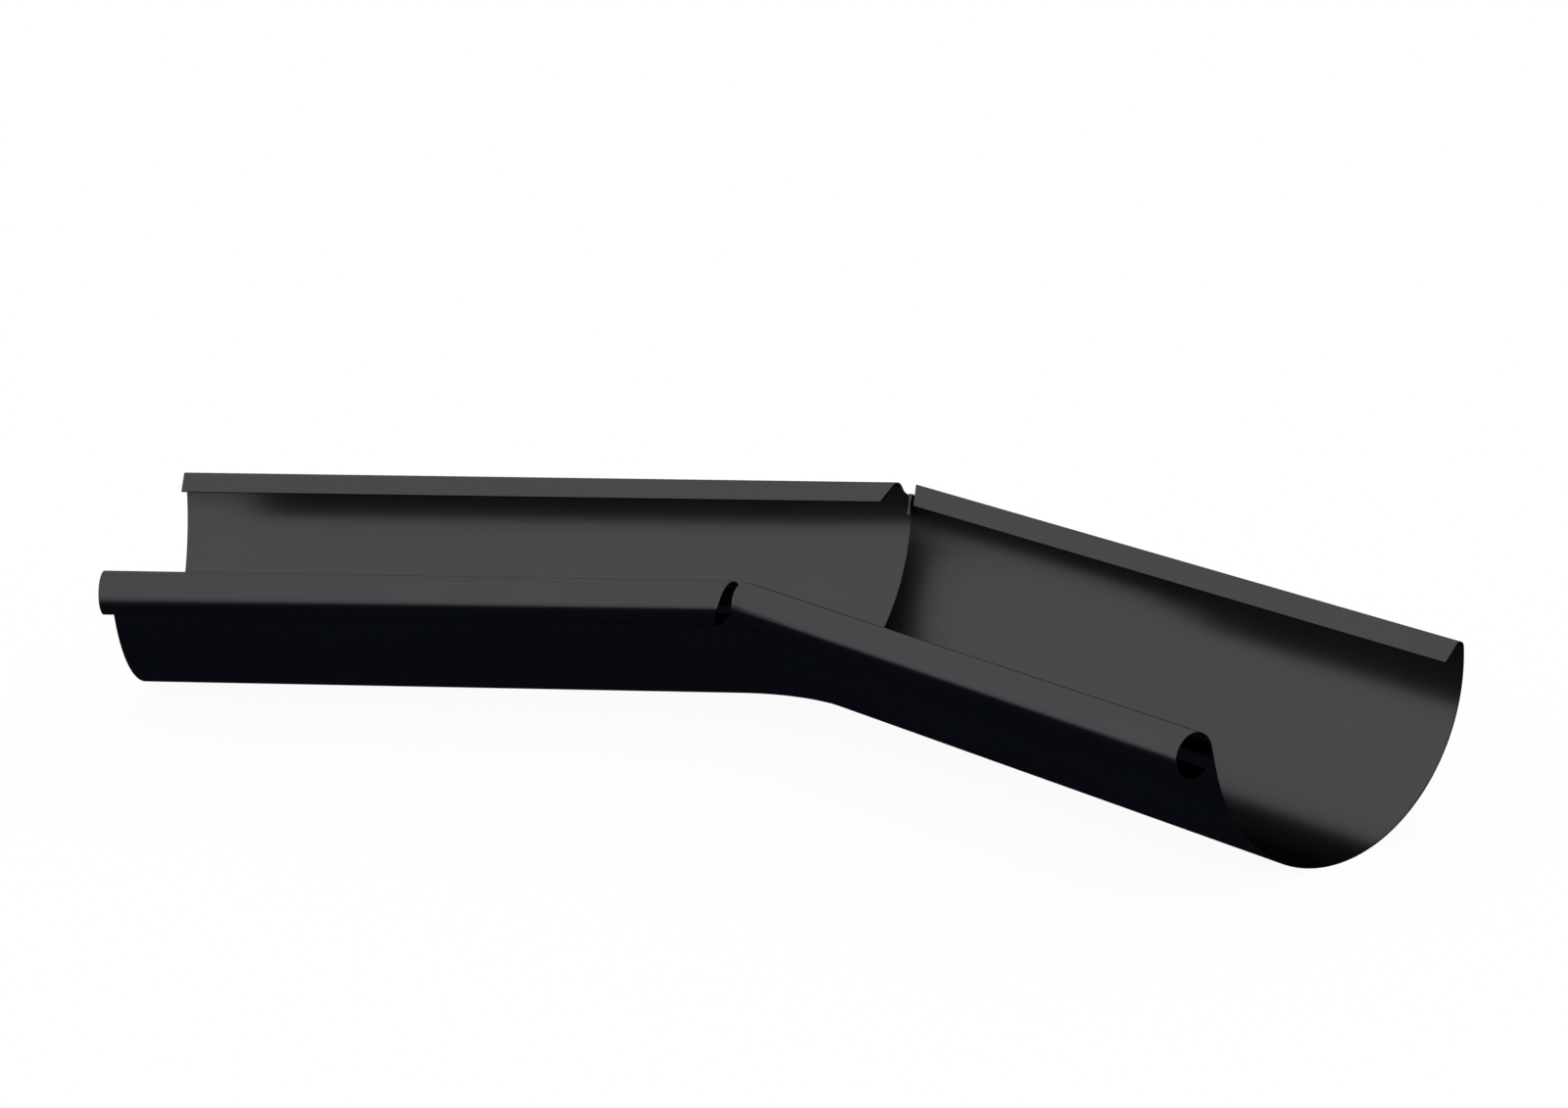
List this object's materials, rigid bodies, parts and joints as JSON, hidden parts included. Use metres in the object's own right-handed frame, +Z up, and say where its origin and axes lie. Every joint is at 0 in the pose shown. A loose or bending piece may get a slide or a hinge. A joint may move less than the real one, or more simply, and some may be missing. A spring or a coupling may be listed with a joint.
{
  "type": "internal gutter angle",
  "caption": "Half-round metal gutter corner for an inside turn, with a rolled bead along the front and a folded flange along the back, cut open at the corner.",
  "frame": {"origin": "the middle of the part's outer box, at the level of the trough's lowest line", "axes": "+Z up out of the open trough; -Y toward the front, where the bead is, along the line that halves the turn; +X toward the right arm's end"},
  "size_m": [0.5694, 0.2504, 0.0708],
  "materials": {
    "coated_sheet": "satin"
  },
  "bodies": {
    "root": {"gutter_angle": "coated_sheet"}
  },
  "joints": []
}
